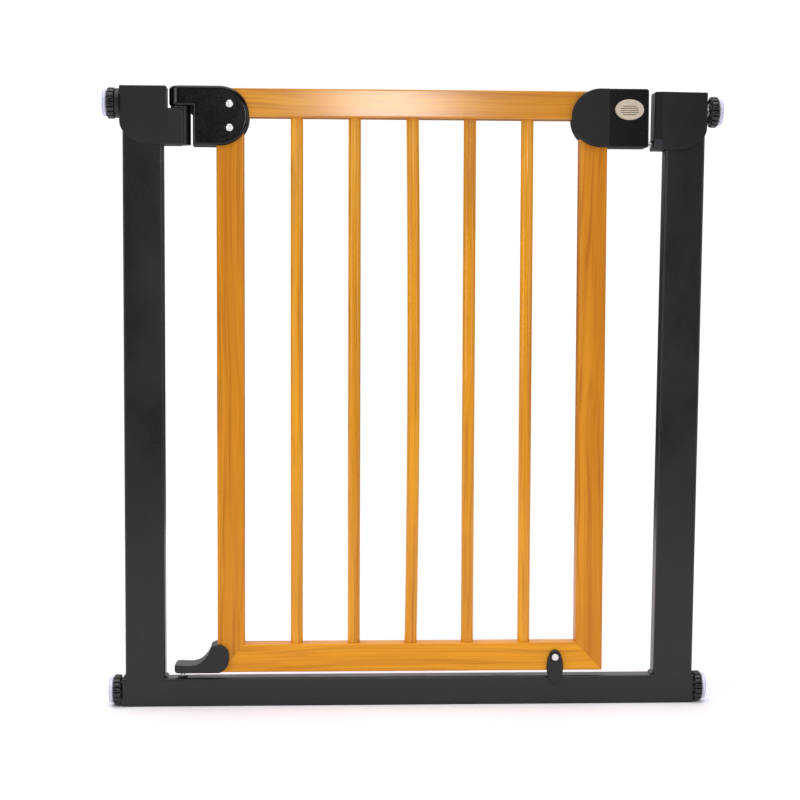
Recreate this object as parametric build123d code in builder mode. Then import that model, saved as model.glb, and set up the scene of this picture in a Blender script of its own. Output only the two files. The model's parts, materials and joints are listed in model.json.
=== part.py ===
from build123d import *
import math
import os

# Pressure-fitted safety gate: a steel U-frame, a wooden swing panel, moulded
# hinge and latch housings, and four screw adjusters.  Millimetres, +Z up.
# X runs from the hinge side (-) to the latch side (+); -Y is the front.
# Origin: middle of the underside of the steel bottom rail.

os.makedirs("parts", exist_ok=True)

# ---------------------------------------------------------------- dimensions
TUBE_D = 24.0            # steel tube depth, front to back
TUBE_WALL = 1.5
TUBE_R = 2.8             # outside corner radius of the tubes
RAIL_H = 35.0            # steel bottom rail height
RAIL_X0, RAIL_X1 = -353.5, 351.5
UP_W = 48.4              # upright width
LUP_X0 = -349.7          # left upright, outer face
UP_TOP = 748.0
R_FOOT_X = 301.8         # right upright, inner face where it meets the rail
SPLAY = 0.615            # the right upright leans outwards before it is fitted

PANEL_X = 237.25         # half width of the wooden panel
PANEL_Z0, PANEL_Z1 = 42.0, 753.2
PANEL_D = 24.0
STILE_W, WOOD_RAIL_H = 33.0, 34.5
BAR_PITCH, BAR_D = 70.2, 15.2
BAR_SOCKET = 12.0
BAR_BOW = 2.6            # natural bow of the middle bar at mid height
WOOD_R = 2.0

HINGE_X = -280.5         # vertical hinge axis
HUB_R = 12.2
HUB_TOP = 728.5
CAM_SLOPE = 0.509        # fall of the cam ramp towards the panel
CAM_GAP = 0.5
PIN_R = 4.0
LOW_PIN_R = 2.5
BUSH_R = 4.45

BRACKET_Y = 13.8         # half depth of the frame brackets
COVER_Y = 16.0           # half depth of the gate-side housings

BOLT_R, BOLT_Z = 3.5, 690.0
BUTTON_X, BUTTON_Z = 263.2, 730.8
BUTTON_A, BUTTON_B = 17.6, 12.5
WEDGE_K = 7.0 / 4.5      # bolt travel over button travel

TAB_X, TAB_PIVOT_Z = 178.4, 59.1

ROD_R = 5.0              # M10 spindle
WHEEL_R, WHEEL_T = 18.8, 9.5
PAD_R, PAD_PROUD = 16.0, 5.2
RUN = 0.05               # radial running clearance


# ------------------------------------------------------------------- planes
def front(y):
    """Upright plane at depth y: local x = X, local y = Z, normal = -Y."""
    return Plane(origin=(0, y, 0), x_dir=(1, 0, 0), z_dir=(0, -1, 0))


_t = math.radians(SPLAY)
R_U = Vector(math.cos(_t), 0, -math.sin(_t))      # across the right upright
R_W = Vector(math.sin(_t), 0, math.cos(_t))       # along the right upright
R_O = Vector(R_FOOT_X, 0, RAIL_H)


def rpoint(u, y, w):
    return R_O + R_U * u + Vector(0, y, 0) + R_W * w


def rfront(y):
    """Front plane of the leaning right upright: local x = u, local y = w."""
    return Plane(origin=rpoint(0, y, 0), x_dir=R_U, z_dir=(0, -1, 0))


def rlevel(w):
    """Cross-section plane of the right upright: local x = u, local y = Y."""
    return Plane(origin=rpoint(0, 0, w), x_dir=R_U, z_dir=R_W)


def rside(u, w=0.0):
    """Plane across the right assembly, normal along +u: local x = Y."""
    return Plane(origin=rpoint(u, 0, w), x_dir=(0, 1, 0), z_dir=R_U)


def side(x, z, sign=1):
    """Plane across X at (x, z), normal along sign * X."""
    return Plane(origin=(x, 0, z), x_dir=(0, 1, 0), z_dir=(sign, 0, 0))


def save(builder, name):
    builder.part.label = name
    export_step(builder.part, "parts/" + name + ".step")


LUP_XC = LUP_X0 + UP_W / 2
LUP_X1 = LUP_X0 + UP_W
TOP_ADJ_Z = 735.0
TOP_ADJ_W = 731.0 - RAIL_H
LOW_ADJ_Z = 19.0

# -------------------------------------------------------------- steel frame
with BuildPart() as bottom_rail:
    with BuildSketch(side(RAIL_X0, RAIL_H / 2)):
        RectangleRounded(TUBE_D, RAIL_H, TUBE_R)
        RectangleRounded(TUBE_D - 2 * TUBE_WALL, RAIL_H - 2 * TUBE_WALL,
                         TUBE_R - TUBE_WALL, mode=Mode.SUBTRACT)
    extrude(amount=RAIL_X1 - RAIL_X0)
    with BuildSketch(Plane.XY.offset(RAIL_H + 1)):
        with Locations((HINGE_X, 0)):
            Circle(BUSH_R + RUN)
    extrude(amount=-6, mode=Mode.SUBTRACT)
save(bottom_rail, "bottom_rail")

with BuildPart() as left_upright:
    with BuildSketch(Plane.XY.offset(RAIL_H)):
        with Locations((LUP_XC, 0)):
            RectangleRounded(UP_W, TUBE_D, TUBE_R)
            RectangleRounded(UP_W - 2 * TUBE_WALL, TUBE_D - 2 * TUBE_WALL,
                             TUBE_R - TUBE_WALL, mode=Mode.SUBTRACT)
    extrude(amount=UP_TOP - RAIL_H)
    with BuildSketch(side(LUP_X0 - 1, TOP_ADJ_Z)):
        Circle(ROD_R + 0.6)
    extrude(amount=5, mode=Mode.SUBTRACT)
    with BuildSketch(front(TUBE_D / 2 + 1)):
        with Locations((LUP_XC, 700), (LUP_XC, 718)):
            Circle(2.02)
    extrude(amount=5, mode=Mode.SUBTRACT)
save(left_upright, "left_upright")

with BuildPart() as right_upright:
    with BuildSketch(rlevel(-3)):
        with Locations((UP_W / 2, 0)):
            RectangleRounded(UP_W, TUBE_D, TUBE_R)
            RectangleRounded(UP_W - 2 * TUBE_WALL, TUBE_D - 2 * TUBE_WALL,
                             TUBE_R - TUBE_WALL, mode=Mode.SUBTRACT)
    extrude(amount=UP_TOP - RAIL_H)
    with BuildSketch(rside(UP_W - 3, TOP_ADJ_W)):
        Circle(ROD_R + 0.6)
    extrude(amount=6, mode=Mode.SUBTRACT)
    with BuildSketch(rfront(TUBE_D / 2 + 1)):
        with Locations((UP_W / 2, 665), (UP_W / 2, 680)):
            Circle(2.02)
    extrude(amount=5, mode=Mode.SUBTRACT)
    # cut square to the rail it stands on
    split(bisect_by=Plane.XY.offset(RAIL_H), keep=Keep.TOP)
save(right_upright, "right_upright")

# weld fillets at the four corners between the uprights and the rail
r_in = rpoint(0, 0, 3.2)
r_out0 = rpoint(UP_W, 0, 0.6)
r_out1 = rpoint(UP_W, 0, 6.5)
# each: foot, top, toe, bulge of the bead's face as a share of its width
beads = (
    ((LUP_X0, RAIL_H), (LUP_X0, RAIL_H + 7.5), (RAIL_X0 + 0.4, RAIL_H), -0.08),
    ((LUP_X1, RAIL_H), (LUP_X1, RAIL_H + 3.2), (LUP_X1 + 3.2, RAIL_H), 0.14),
    ((R_FOOT_X, RAIL_H), (r_in.X, r_in.Z), (R_FOOT_X - 3.2, RAIL_H), 0.14),
    ((r_out0.X, RAIL_H), (r_out1.X, r_out1.Z), (RAIL_X1 - 0.3, RAIL_H), -0.05),
)
with BuildPart() as weld_beads:
    for foot, top, toe, bulge in beads:
        mid = ((top[0] + toe[0]) / 2 + bulge * (toe[0] - foot[0]) * 1.5,
               (top[1] + toe[1]) / 2 + bulge * (top[1] - foot[1]) * 1.5)
        with BuildSketch(front(9.0)):
            with BuildLine():
                Line(foot, top)
                ThreePointArc(top, mid, toe)
                Line(toe, foot)
            make_face()
        extrude(amount=18.0)
    # ground-flush weld runs between the rail's round edge and each upright
    zc = RAIL_H - TUBE_R
    gap_r = TUBE_R + 0.03
    for x0, x1 in ((LUP_X0 + 1.6, LUP_X1 - 1.6),
                   (R_FOOT_X + 1.6, R_FOOT_X + UP_W - 1.6)):
        for s in (-1, 1):
            yc = s * (TUBE_D / 2 - TUBE_R)
            y_top = yc + s * math.sqrt(gap_r ** 2 - (TUBE_R - 0.02) ** 2)
            y_out = s * TUBE_D / 2
            z_out = zc + math.sqrt(gap_r ** 2 - TUBE_R ** 2)
            c45 = gap_r / math.sqrt(2)
            with BuildSketch(side(x0, 0)):
                with BuildLine():
                    Line((y_out, z_out), (y_out, RAIL_H - 0.02))
                    Line((y_out, RAIL_H - 0.02), (y_top, RAIL_H - 0.02))
                    ThreePointArc((y_top, RAIL_H - 0.02),
                                  (yc + s * c45, zc + c45), (y_out, z_out))
                make_face()
            extrude(amount=x1 - x0)
save(weld_beads, "weld_beads")

with BuildPart() as rail_end_inserts:
    with BuildSketch(side(RAIL_X0 + 0.3, RAIL_H / 2)):
        RectangleRounded(TUBE_D - 2 * TUBE_WALL - 0.1,
                         RAIL_H - 2 * TUBE_WALL - 0.1, TUBE_R - TUBE_WALL)
        with Locations((0, LOW_ADJ_Z - RAIL_H / 2)):
            Circle(ROD_R + RUN, mode=Mode.SUBTRACT)
    extrude(amount=14)
    with BuildSketch(side(RAIL_X1 - 14.3, RAIL_H / 2)):
        RectangleRounded(TUBE_D - 2 * TUBE_WALL - 0.1,
                         RAIL_H - 2 * TUBE_WALL - 0.1, TUBE_R - TUBE_WALL)
        with Locations((0, LOW_ADJ_Z - RAIL_H / 2)):
            Circle(ROD_R + RUN, mode=Mode.SUBTRACT)
    extrude(amount=14)
save(rail_end_inserts, "rail_end_inserts")

with BuildPart() as upright_weld_nuts:
    with BuildSketch(side(LUP_X0 + TUBE_WALL + 0.4, TOP_ADJ_Z)):
        RegularPolygon(7.2, 6, major_radius=False, rotation=30)
        Circle(ROD_R + RUN, mode=Mode.SUBTRACT)
    extrude(amount=8)
    with BuildSketch(rside(UP_W - TUBE_WALL - 8.4, TOP_ADJ_W)):
        RegularPolygon(7.2, 6, major_radius=False, rotation=30)
        Circle(ROD_R + RUN, mode=Mode.SUBTRACT)
    extrude(amount=8)
save(upright_weld_nuts, "upright_weld_nuts")

# ----------------------------------------------------------- hinge bracket
HB_X0, HB_X1 = -353.2, -297.0
HB_Z0, HB_Z1 = 685.0, 755.1
with BuildPart() as hinge_bracket:
    # cap around the upright, with the big rounded lower corner
    with BuildSketch(front(BRACKET_Y)):
        with BuildLine():
            l1 = Line((HB_X0, HB_Z0 + 28), (HB_X0, HB_Z1))
            l2 = Line(l1 @ 1, (HB_X1, HB_Z1))
            l3 = Line(l2 @ 1, (HB_X1, HUB_TOP))
            l4 = Line(l3 @ 1, (HINGE_X, HUB_TOP))
            l5 = Line(l4 @ 1, (HINGE_X, HB_Z0))
            l6 = Line(l5 @ 1, (HB_X0 + 39, HB_Z0))
            EllipticalCenterArc((HB_X0 + 39, HB_Z0 + 28), 39, 28,
                                start_angle=180, arc_size=90)
        make_face()
    extrude(amount=2 * BRACKET_Y)
    fillet(hinge_bracket.edges().filter_by(Axis.Y).group_by(Axis.Z)[-1], 1.3)
    rim = hinge_bracket.faces().sort_by(Axis.Y)[0].edges() \
        + hinge_bracket.faces().sort_by(Axis.Y)[-1].edges()
    fillet(rim, 1.2)
    # hinge hub with the falling cam ramp on its panel side
    with BuildSketch(Plane.XY.offset(HB_Z0 + 0.6)):
        with Locations((HINGE_X, 0)):
            Circle(HUB_R)
    extrude(amount=HUB_TOP - HB_Z0 - 0.6)
    with BuildSketch(front(20)):
        with BuildLine():
            Polyline((HINGE_X, HUB_TOP), (HINGE_X + 20, HUB_TOP - 20 * CAM_SLOPE),
                     (HINGE_X + 20, HUB_TOP + 10), (HINGE_X, HUB_TOP + 10),
                     close=True)
        make_face()
    extrude(amount=40, mode=Mode.SUBTRACT)
    # pocket for the upright
    with BuildSketch(Plane.XY.offset(HB_Z0 - 5)):
        with Locations((LUP_XC, 0)):
            Rectangle(UP_W + 0.1, TUBE_D + 0.1)
    extrude(amount=UP_TOP + 0.1 - HB_Z0 + 5, mode=Mode.SUBTRACT)
    # spindle hole, hinge pin bore, rear screw holes
    with BuildSketch(side(HB_X0 - 2, TOP_ADJ_Z)):
        Circle(ROD_R + 0.6)
    extrude(amount=6, mode=Mode.SUBTRACT)
    with BuildSketch(Plane.XY.offset(698)):
        with Locations((HINGE_X, 0)):
            Circle(PIN_R + 0.01)
    extrude(amount=40, mode=Mode.SUBTRACT)
    with BuildSketch(front(BRACKET_Y + 1)):
        with Locations((LUP_XC, 700), (LUP_XC, 718)):
            Circle(2.02)
    extrude(amount=6, mode=Mode.SUBTRACT)
save(hinge_bracket, "hinge_bracket")

with BuildPart() as hinge_pin:
    with BuildSketch(Plane.XY.offset(698)):
        with Locations((HINGE_X, 0)):
            Circle(PIN_R)
    extrude(amount=48)
    chamfer(hinge_pin.edges().group_by(Axis.Z)[-1], 0.8)
save(hinge_pin, "hinge_pin")

# --------------------------------------------------------- striker bracket
SB_U0, SB_U1 = -14.2, 50.0
SB_W0, SB_W1 = 648.0, 718.2
KP_U0, KP_U1, KP_W0, KP_W1 = -16.1, -4.7, 647.8, 660.9
KP_Y0, KP_Y1 = -15.2, 6.5
with BuildPart() as striker_bracket:
    # plan section: the nose beside the latch is bevelled back
    with BuildSketch(rlevel(SB_W0 - 4)):
        with BuildLine():
            Polyline((SB_U1, -BRACKET_Y), (-5.0, -BRACKET_Y), (-12.6, -11.2),
                     (SB_U0, -9.6), (SB_U0, BRACKET_Y), (SB_U1, BRACKET_Y),
                     close=True)
        make_face()
    extrude(amount=SB_W1 - SB_W0 + 8)
    with BuildSketch(rfront(BRACKET_Y + 4)):
        with BuildLine():
            l1 = Line((SB_U0 - 1, SB_W0), (SB_U0 - 1, SB_W1))
            l2 = Line(l1 @ 1, (SB_U1, SB_W1))
            l3 = Line(l2 @ 1, (SB_U1, SB_W0 + 27))
            EllipticalCenterArc((SB_U1 - 41, SB_W0 + 27), 41, 27,
                                start_angle=270, arc_size=90)
            Line((SB_U1 - 41, SB_W0), (SB_U0 - 1, SB_W0))
        make_face()
    extrude(amount=2 * BRACKET_Y + 8, mode=Mode.INTERSECT)
    tops = striker_bracket.edges().filter_by(Axis.Y).filter_by(
        lambda e: e.center().Z > 745)
    fillet(tops, 1.3)
    with BuildSketch(rlevel(SB_W0 - 5)):
        with Locations((UP_W / 2, 0)):
            Rectangle(UP_W + 0.1, TUBE_D + 0.1)
    extrude(amount=UP_TOP - RAIL_H - 3 + 0.1 - SB_W0 + 5, mode=Mode.SUBTRACT)
    with BuildSketch(rside(UP_W - 2, TOP_ADJ_W)):
        Circle(ROD_R + 0.6)
    extrude(amount=6, mode=Mode.SUBTRACT)
    with BuildSketch(rfront(BRACKET_Y + 1)):
        with Locations((UP_W / 2, 665), (UP_W / 2, 680)):
            Circle(2.02)
    extrude(amount=6, mode=Mode.SUBTRACT)
    # seat of the keeper block
    with BuildSketch(rfront(KP_Y1)):
        with Locations(((KP_U0 + KP_U1) / 2, (KP_W0 + KP_W1) / 2 - 2)):
            Rectangle(KP_U1 - KP_U0, KP_W1 - KP_W0 + 4)
    extrude(amount=KP_Y1 - KP_Y0 + 4, mode=Mode.SUBTRACT)
save(striker_bracket, "striker_bracket")

with BuildPart() as latch_keeper:
    with BuildSketch(rfront(KP_Y1)):
        with Locations(((KP_U0 + KP_U1) / 2, (KP_W0 + KP_W1) / 2)):
            RectangleRounded(KP_U1 - KP_U0, KP_W1 - KP_W0, 0.8)
    extrude(amount=KP_Y1 - KP_Y0)
    # bolt slot, open towards the side the gate swings to
    with BuildSketch(front(4.2)):
        with Locations((295.2 - 10, BOLT_Z)):
            Rectangle(20, 2 * BOLT_R + 1.0)
    extrude(amount=30, mode=Mode.SUBTRACT)
save(latch_keeper, "latch_keeper")

with BuildPart() as bracket_screws:
    for px, pz in ((LUP_XC, 700), (LUP_XC, 718)):
        with BuildSketch(front(BRACKET_Y)):
            with Locations((px, pz)):
                Circle(2.0)
        extrude(amount=BRACKET_Y - 6.2)
        with BuildSketch(front(BRACKET_Y)):
            with Locations((px, pz)):
                Circle(4.0)
        extrude(amount=-2.4)
    for pu, pw in ((UP_W / 2, 665), (UP_W / 2, 680)):
        with BuildSketch(rfront(BRACKET_Y)):
            with Locations((pu, pw)):
                Circle(2.0)
        extrude(amount=BRACKET_Y - 6.2)
        with BuildSketch(rfront(BRACKET_Y)):
            with Locations((pu, pw)):
                Circle(4.0)
        extrude(amount=-2.4)
    fillet(bracket_screws.edges().filter_by(GeomType.CIRCLE).group_by(Axis.Y)[-1], 1.0)
save(bracket_screws, "bracket_screws")

# -------------------------------------------------------------- lower pivot
with BuildPart() as lower_pivot_bush:
    with BuildSketch(Plane.XY.offset(23)):
        with Locations((HINGE_X, 0)):
            Circle(BUSH_R)
    extrude(amount=RAIL_H - 23 + 0.05)
    with BuildSketch(Plane.XY.offset(RAIL_H + 0.05)):
        with Locations((HINGE_X, 0)):
            Circle(6.0)
    extrude(amount=0.9)
    with BuildSketch(Plane.XY.offset(20)):
        with Locations((HINGE_X, 0)):
            Circle(LOW_PIN_R + RUN)
    extrude(amount=20, mode=Mode.SUBTRACT)
save(lower_pivot_bush, "lower_pivot_bush")

# ------------------------------------------------------------ wooden panel
SX = PANEL_X - STILE_W
RZ0, RZ1 = PANEL_Z0 + WOOD_RAIL_H, PANEL_Z1 - WOOD_RAIL_H
BAR_XS = [(i - 2) * BAR_PITCH for i in range(5)]
HS = ((-221.0, 733.7), (-221.0, 705.2))            # hinge cover screws
LS = ((221.0, 735.0), (221.0, 704.0))              # latch screws in the wood
ARM_SCREWS = ((-228.0, 56.0), (-228.0, 68.0))      # lower arm wood screws

with BuildPart() as left_stile:
    with BuildSketch(front(PANEL_D / 2)):
        with BuildLine():
            Polyline((-PANEL_X, PANEL_Z0), (-PANEL_X, PANEL_Z1), (-SX, RZ1),
                     (-SX, RZ0), close=True)
        make_face()
    extrude(amount=PANEL_D)
    fillet(left_stile.edges().filter_by(Axis.Z), WOOD_R)
    with BuildSketch(front(20)):
        with Locations(*HS):
            Circle(2.6)
    extrude(amount=40, mode=Mode.SUBTRACT)
    with BuildSketch(front(PANEL_D / 2 + 1)):
        with Locations(*ARM_SCREWS):
            Circle(1.82)
    extrude(amount=15, mode=Mode.SUBTRACT)
save(left_stile, "left_stile")

with BuildPart() as right_stile:
    with BuildSketch(front(PANEL_D / 2)):
        with BuildLine():
            Polyline((PANEL_X, PANEL_Z0), (PANEL_X, PANEL_Z1), (SX, RZ1),
                     (SX, RZ0), close=True)
        make_face()
    extrude(amount=PANEL_D)
    fillet(right_stile.edges().filter_by(Axis.Z), WOOD_R)
    with BuildSketch(front(20)):
        with Locations(*LS):
            Circle(2.2)
    extrude(amount=40, mode=Mode.SUBTRACT)
save(right_stile, "right_stile")

with BuildPart() as top_rail:
    with BuildSketch(front(PANEL_D / 2)):
        with BuildLine():
            Polyline((-PANEL_X, PANEL_Z1), (PANEL_X, PANEL_Z1), (SX, RZ1),
                     (-SX, RZ1), close=True)
        make_face()
    extrude(amount=PANEL_D)
    fillet(top_rail.edges().filter_by(Axis.X), WOOD_R)
    with BuildSketch(Plane.XY.offset(RZ1 - 1)):
        with Locations(*[(x, 0) for x in BAR_XS]):
            Circle(BAR_D / 2 + 0.02)
        with Locations((BAR_XS[2], 0)):
            Circle(BAR_D / 2 + 0.3)
    extrude(amount=BAR_SOCKET + 1, mode=Mode.SUBTRACT)
    with BuildSketch(front(20)):
        with Locations(HS[0]):
            Circle(2.6)
        with Locations(LS[0]):
            Circle(2.2)
    extrude(amount=40, mode=Mode.SUBTRACT)
save(top_rail, "top_rail")

with BuildPart() as panel_bottom_rail:
    with BuildSketch(front(PANEL_D / 2)):
        with BuildLine():
            Polyline((-PANEL_X, PANEL_Z0), (PANEL_X, PANEL_Z0), (SX, RZ0),
                     (-SX, RZ0), close=True)
        make_face()
    extrude(amount=PANEL_D)
    fillet(panel_bottom_rail.edges().filter_by(Axis.X), WOOD_R)
    with BuildSketch(Plane.XY.offset(RZ0 + 1)):
        with Locations(*[(x, 0) for x in BAR_XS]):
            Circle(BAR_D / 2 + 0.02)
        with Locations((BAR_XS[2], 0)):
            Circle(BAR_D / 2 + 0.3)
    extrude(amount=-(BAR_SOCKET + 1), mode=Mode.SUBTRACT)
    with BuildSketch(front(4)):
        with Locations((TAB_X, TAB_PIVOT_Z)):
            Circle(2.02)
    extrude(amount=18, mode=Mode.SUBTRACT)
save(panel_bottom_rail, "panel_bottom_rail")

bz0, bz1 = RZ0 - BAR_SOCKET + 0.3, RZ1 + BAR_SOCKET - 0.3
for i, bx in enumerate(BAR_XS):
    with BuildPart() as bar:
        if i == 2:
            # the middle bar is bowed, a shallow arc in the panel's plane
            arc_r = (bz1 - bz0) ** 2 / (8 * BAR_BOW) + BAR_BOW / 2
            half = math.asin((bz1 - bz0) / 2 / arc_r)
            arc_c = Vector(bx + BAR_BOW - arc_r, 0, (bz0 + bz1) / 2)
            with BuildSketch(Plane(origin=(bx, 0, bz0),
                                   x_dir=(math.cos(half), 0, -math.sin(half)),
                                   z_dir=(math.sin(half), 0, math.cos(half)))):
                Circle(BAR_D / 2)
            revolve(axis=Axis(arc_c, (0, -1, 0)),
                    revolution_arc=math.degrees(2 * half))
        else:
            with BuildSketch(Plane.XY.offset(bz0)):
                with Locations((bx, 0)):
                    Circle(BAR_D / 2)
            extrude(amount=bz1 - bz0)
    save(bar, "bar_%d" % (i + 1))

# ------------------------------------------------------ gate hinge housing
HC_X, HC_ZC, HC_R = -233.4, 719.7, 35.8
HC_TOP, HC_BOT = HC_ZC + HC_R, HC_ZC - HC_R
ARM_Z = 731.0
ARM_A = 13.8             # the arm end is a half ellipse in plan
WEB_X = -265.2


def hinge_cover(y_seam, y_face, name):
    """One half of the housing that joins the panel's top corner to the hub."""
    out = -1 if y_face < y_seam else 1
    depth = abs(y_face - y_seam)
    with BuildPart() as cover:
        with BuildSketch(front(y_seam)):
            with BuildLine():
                a = Line((HC_X, HC_TOP), (HINGE_X - ARM_A - 1, HC_TOP))
                b = Line(a @ 1, (HINGE_X - ARM_A - 1, ARM_Z))
                c = Line(b @ 1, (WEB_X, ARM_Z))
                d = Line(c @ 1, (WEB_X, HC_BOT))
                e = Line(d @ 1, (HC_X, HC_BOT))
                CenterArc((HC_X, HC_ZC), HC_R, -90, 180)
            make_face()
        extrude(amount=-out * depth)
        # plan of the arm end, a half ellipse about the hinge axis
        with BuildSketch(Plane.XY.offset(HC_BOT - 1)):
            with BuildLine():
                f = EllipticalCenterArc((HINGE_X, y_seam), ARM_A, COVER_Y,
                                        start_angle=180 if out < 0 else 90,
                                        arc_size=90)
                far = (HINGE_X, y_face)
                tip = (HINGE_X - ARM_A, y_seam)
                Line(far, (-190, y_face))
                Line((-190, y_face), (-190, y_seam))
                Line((-190, y_seam), tip)
            make_face()
        extrude(amount=HC_TOP - HC_BOT + 2, mode=Mode.INTERSECT)
        outer = cover.edges().filter_by(
            lambda q: abs(q.center().Y - y_face) < 0.01
            and not (abs(q.center().X - HINGE_X) < 0.01
                     and q.length < HC_TOP - ARM_Z + 0.1))
        arm_top = cover.edges().filter_by(
            lambda q: q.center().X < HINGE_X - 1
            and abs(q.center().Z - HC_TOP) < 0.01
            and abs(q.center().Y - y_seam) > 1)
        arm_low = cover.edges().filter_by(
            lambda q: q.center().X < HINGE_X - 1
            and abs(q.center().Z - ARM_Z) < 0.01
            and abs(q.center().Y - y_seam) > 1)
        fillet(outer + arm_top + arm_low, 4.2)
        # gusset in the corner under the arm
        with BuildSketch(front(y_seam)):
            with BuildLine():
                Polyline((HINGE_X + 12.4, 722.8), (WEB_X + 3, 722.8),
                         (WEB_X + 3, ARM_Z + 3), (HINGE_X + 12.4, ARM_Z + 3),
                         close=True)
            make_face()
        extrude(amount=-out * (depth - 3.4))
        # socket for the cam sleeve
        with BuildSketch(Plane.XY.offset(ARM_Z - 2)):
            with Locations((HINGE_X, 0)):
                Circle(8.02)
        extrude(amount=19.2, mode=Mode.SUBTRACT)
        # pocket for the wooden corner
        with BuildSketch(front(PANEL_D / 2 + 0.05 if out > 0 else 1)):
            with BuildLine():
                Polyline((-PANEL_X - 0.05, PANEL_Z0), (-PANEL_X - 0.05, PANEL_Z1 + 0.05),
                         (0, PANEL_Z1 + 0.05), (0, RZ1 - 0.05), (-SX + 0.05, RZ1 - 0.05),
                         (-SX + 0.05, PANEL_Z0), close=True)
            make_face()
        extrude(amount=PANEL_D / 2 + 1.05, mode=Mode.SUBTRACT)
        # hollow between the wood and the web
        with BuildSketch(front(y_seam)):
            with BuildLine():
                Polyline((WEB_X + 5.0, HC_BOT + 2.8), (WEB_X + 5.0, HC_TOP - 5.0),
                         (-240.0, HC_TOP - 5.0), (-240.0, HC_BOT + 2.8), close=True)
            make_face()
        extrude(amount=-out * (depth - 3.0), mode=Mode.SUBTRACT)
        with BuildSketch(front(y_face + out * 1)):
            with Locations(*HS):
                Circle(2.6)
        extrude(amount=out * (depth + 2), mode=Mode.SUBTRACT)
        # shallow seats for the screw heads or the nuts
        with BuildSketch(front(y_face + out * 1)):
            with Locations(*HS):
                Circle(5.6)
        extrude(amount=out * (1.0 + (1.0 if out < 0 else 2.6)), mode=Mode.SUBTRACT)
    save(cover, name)


hinge_cover(0.0, -COVER_Y, "hinge_cover_front")
hinge_cover(0.0, COVER_Y, "hinge_cover_rear")

with BuildPart() as hinge_cam:
    with BuildSketch(Plane.XY.offset(HUB_TOP - 10)):
        with Locations((HINGE_X, 0)):
            Circle(HUB_R)
    extrude(amount=ARM_Z - HUB_TOP + 10)
    # underside matches the ramp on the bracket
    with BuildSketch(front(20)):
        with BuildLine():
            Polyline((HINGE_X - 20, HUB_TOP + CAM_GAP), (HINGE_X, HUB_TOP + CAM_GAP),
                     (HINGE_X + 20, HUB_TOP + CAM_GAP - 20 * CAM_SLOPE),
                     (HINGE_X + 20, HUB_TOP - 20), (HINGE_X - 20, HUB_TOP - 20),
                     close=True)
        make_face()
    extrude(amount=40, mode=Mode.SUBTRACT)
    with BuildSketch(Plane.XY.offset(ARM_Z)):
        with Locations((HINGE_X, 0)):
            Circle(8.0)
    extrude(amount=17)
    with BuildSketch(Plane.XY.offset(HUB_TOP - 12)):
        with Locations((HINGE_X, 0)):
            Circle(PIN_R + RUN)
    extrude(amount=40, mode=Mode.SUBTRACT)
save(hinge_cam, "hinge_cam")

with BuildPart() as hinge_cover_screws:
    for px, pz in HS:
        with BuildSketch(front(COVER_Y + 1.0)):
            with Locations((px, pz)):
                Circle(2.5)
        extrude(amount=2 * COVER_Y)
        with BuildSketch(front(-COVER_Y + 1.0)):
            with Locations((px, pz)):
                Circle(4.65)
        extrude(amount=2.9)
    fillet(hinge_cover_screws.edges().filter_by(GeomType.CIRCLE).group_by(Axis.Y)[0], 1.6)
    # cross recesses
    with BuildSketch(front(-COVER_Y - 1.9 + 1.2)):
        for px, pz in HS:
            with Locations((px, pz)):
                Rectangle(4.6, 1.1, rotation=35)
                Rectangle(1.1, 4.6, rotation=35)
    extrude(amount=3, mode=Mode.SUBTRACT)
save(hinge_cover_screws, "hinge_cover_screws")

with BuildPart() as hinge_cover_nuts:
    with BuildSketch(front(COVER_Y + 0.6)):
        for px, pz in HS:
            with Locations((px, pz)):
                RegularPolygon(4.0, 6, major_radius=False)
        with Locations(*HS):
            Circle(2.5, mode=Mode.SUBTRACT)
    extrude(amount=3.2)
save(hinge_cover_nuts, "hinge_cover_nuts")

# --------------------------------------------------------- lower hinge arm
ARM_Y = 17.0
with BuildPart() as lower_hinge_arm:
    # plan: rounded free end under the hinge axis
    with BuildSketch(Plane.XY.offset(PANEL_Z0)):
        with BuildLine():
            a = Line((-215, -ARM_Y), (-282.0, -ARM_Y))
            b = ThreePointArc(a @ 1, (-287.7, -14.7), (-290.0, -9.0))
            c = Line(b @ 1, (-290.0, 9.0))
            d = ThreePointArc(c @ 1, (-287.7, 14.7), (-282.0, ARM_Y))
            e = Line(d @ 1, (-215, ARM_Y))
            Line(e @ 1, a @ 0)
        make_face()
    extrude(amount=45)
    # front outline: low toe, concave instep, round lobe on the panel corner
    with BuildSketch(front(ARM_Y + 2)):
        with BuildLine():
            a = Line((-235.5, PANEL_Z0 + 0.2), (-287.0, PANEL_Z0 + 0.2))
            b = ThreePointArc(a @ 1, (-289.3, 43.3), (-290.5, 45.6))
            c = Line(b @ 1, (-290.5, 48.6))
            d = ThreePointArc(c @ 1, (-289.2, 51.0), (-286.0, 51.9))
            e = Spline((-286.0, 51.9), (-270.0, 51.4), (-258.5, 54.6),
                       (-250.0, 63.5), (-245.8, 73.0),
                       tangents=((1, 0.02), (0.25, 1)))
            f = ThreePointArc(e @ 1, (-233.0, 76.3), (-223.4, 61.0))
            ThreePointArc(f @ 1, (-226.0, 49.5), a @ 0)
        make_face()
    extrude(amount=2 * ARM_Y + 4, mode=Mode.INTERSECT)
    # channel for the wooden corner
    with BuildSketch(front(PANEL_D / 2 + 0.05)):
        with Locations(((-PANEL_X - 0.05 - 200) / 2, 80)):
            Rectangle(PANEL_X + 0.05 - 200, 90)
    extrude(amount=PANEL_D + 0.1, mode=Mode.SUBTRACT)
    with BuildSketch(Plane.XY.offset(PANEL_Z0 - 1)):
        with Locations((HINGE_X, 0)):
            Circle(LOW_PIN_R + 0.01)
    extrude(amount=8.2, mode=Mode.SUBTRACT)
    with BuildSketch(front(ARM_Y + 1)):
        with Locations(*ARM_SCREWS):
            Circle(1.82)
    extrude(amount=8, mode=Mode.SUBTRACT)
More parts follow.
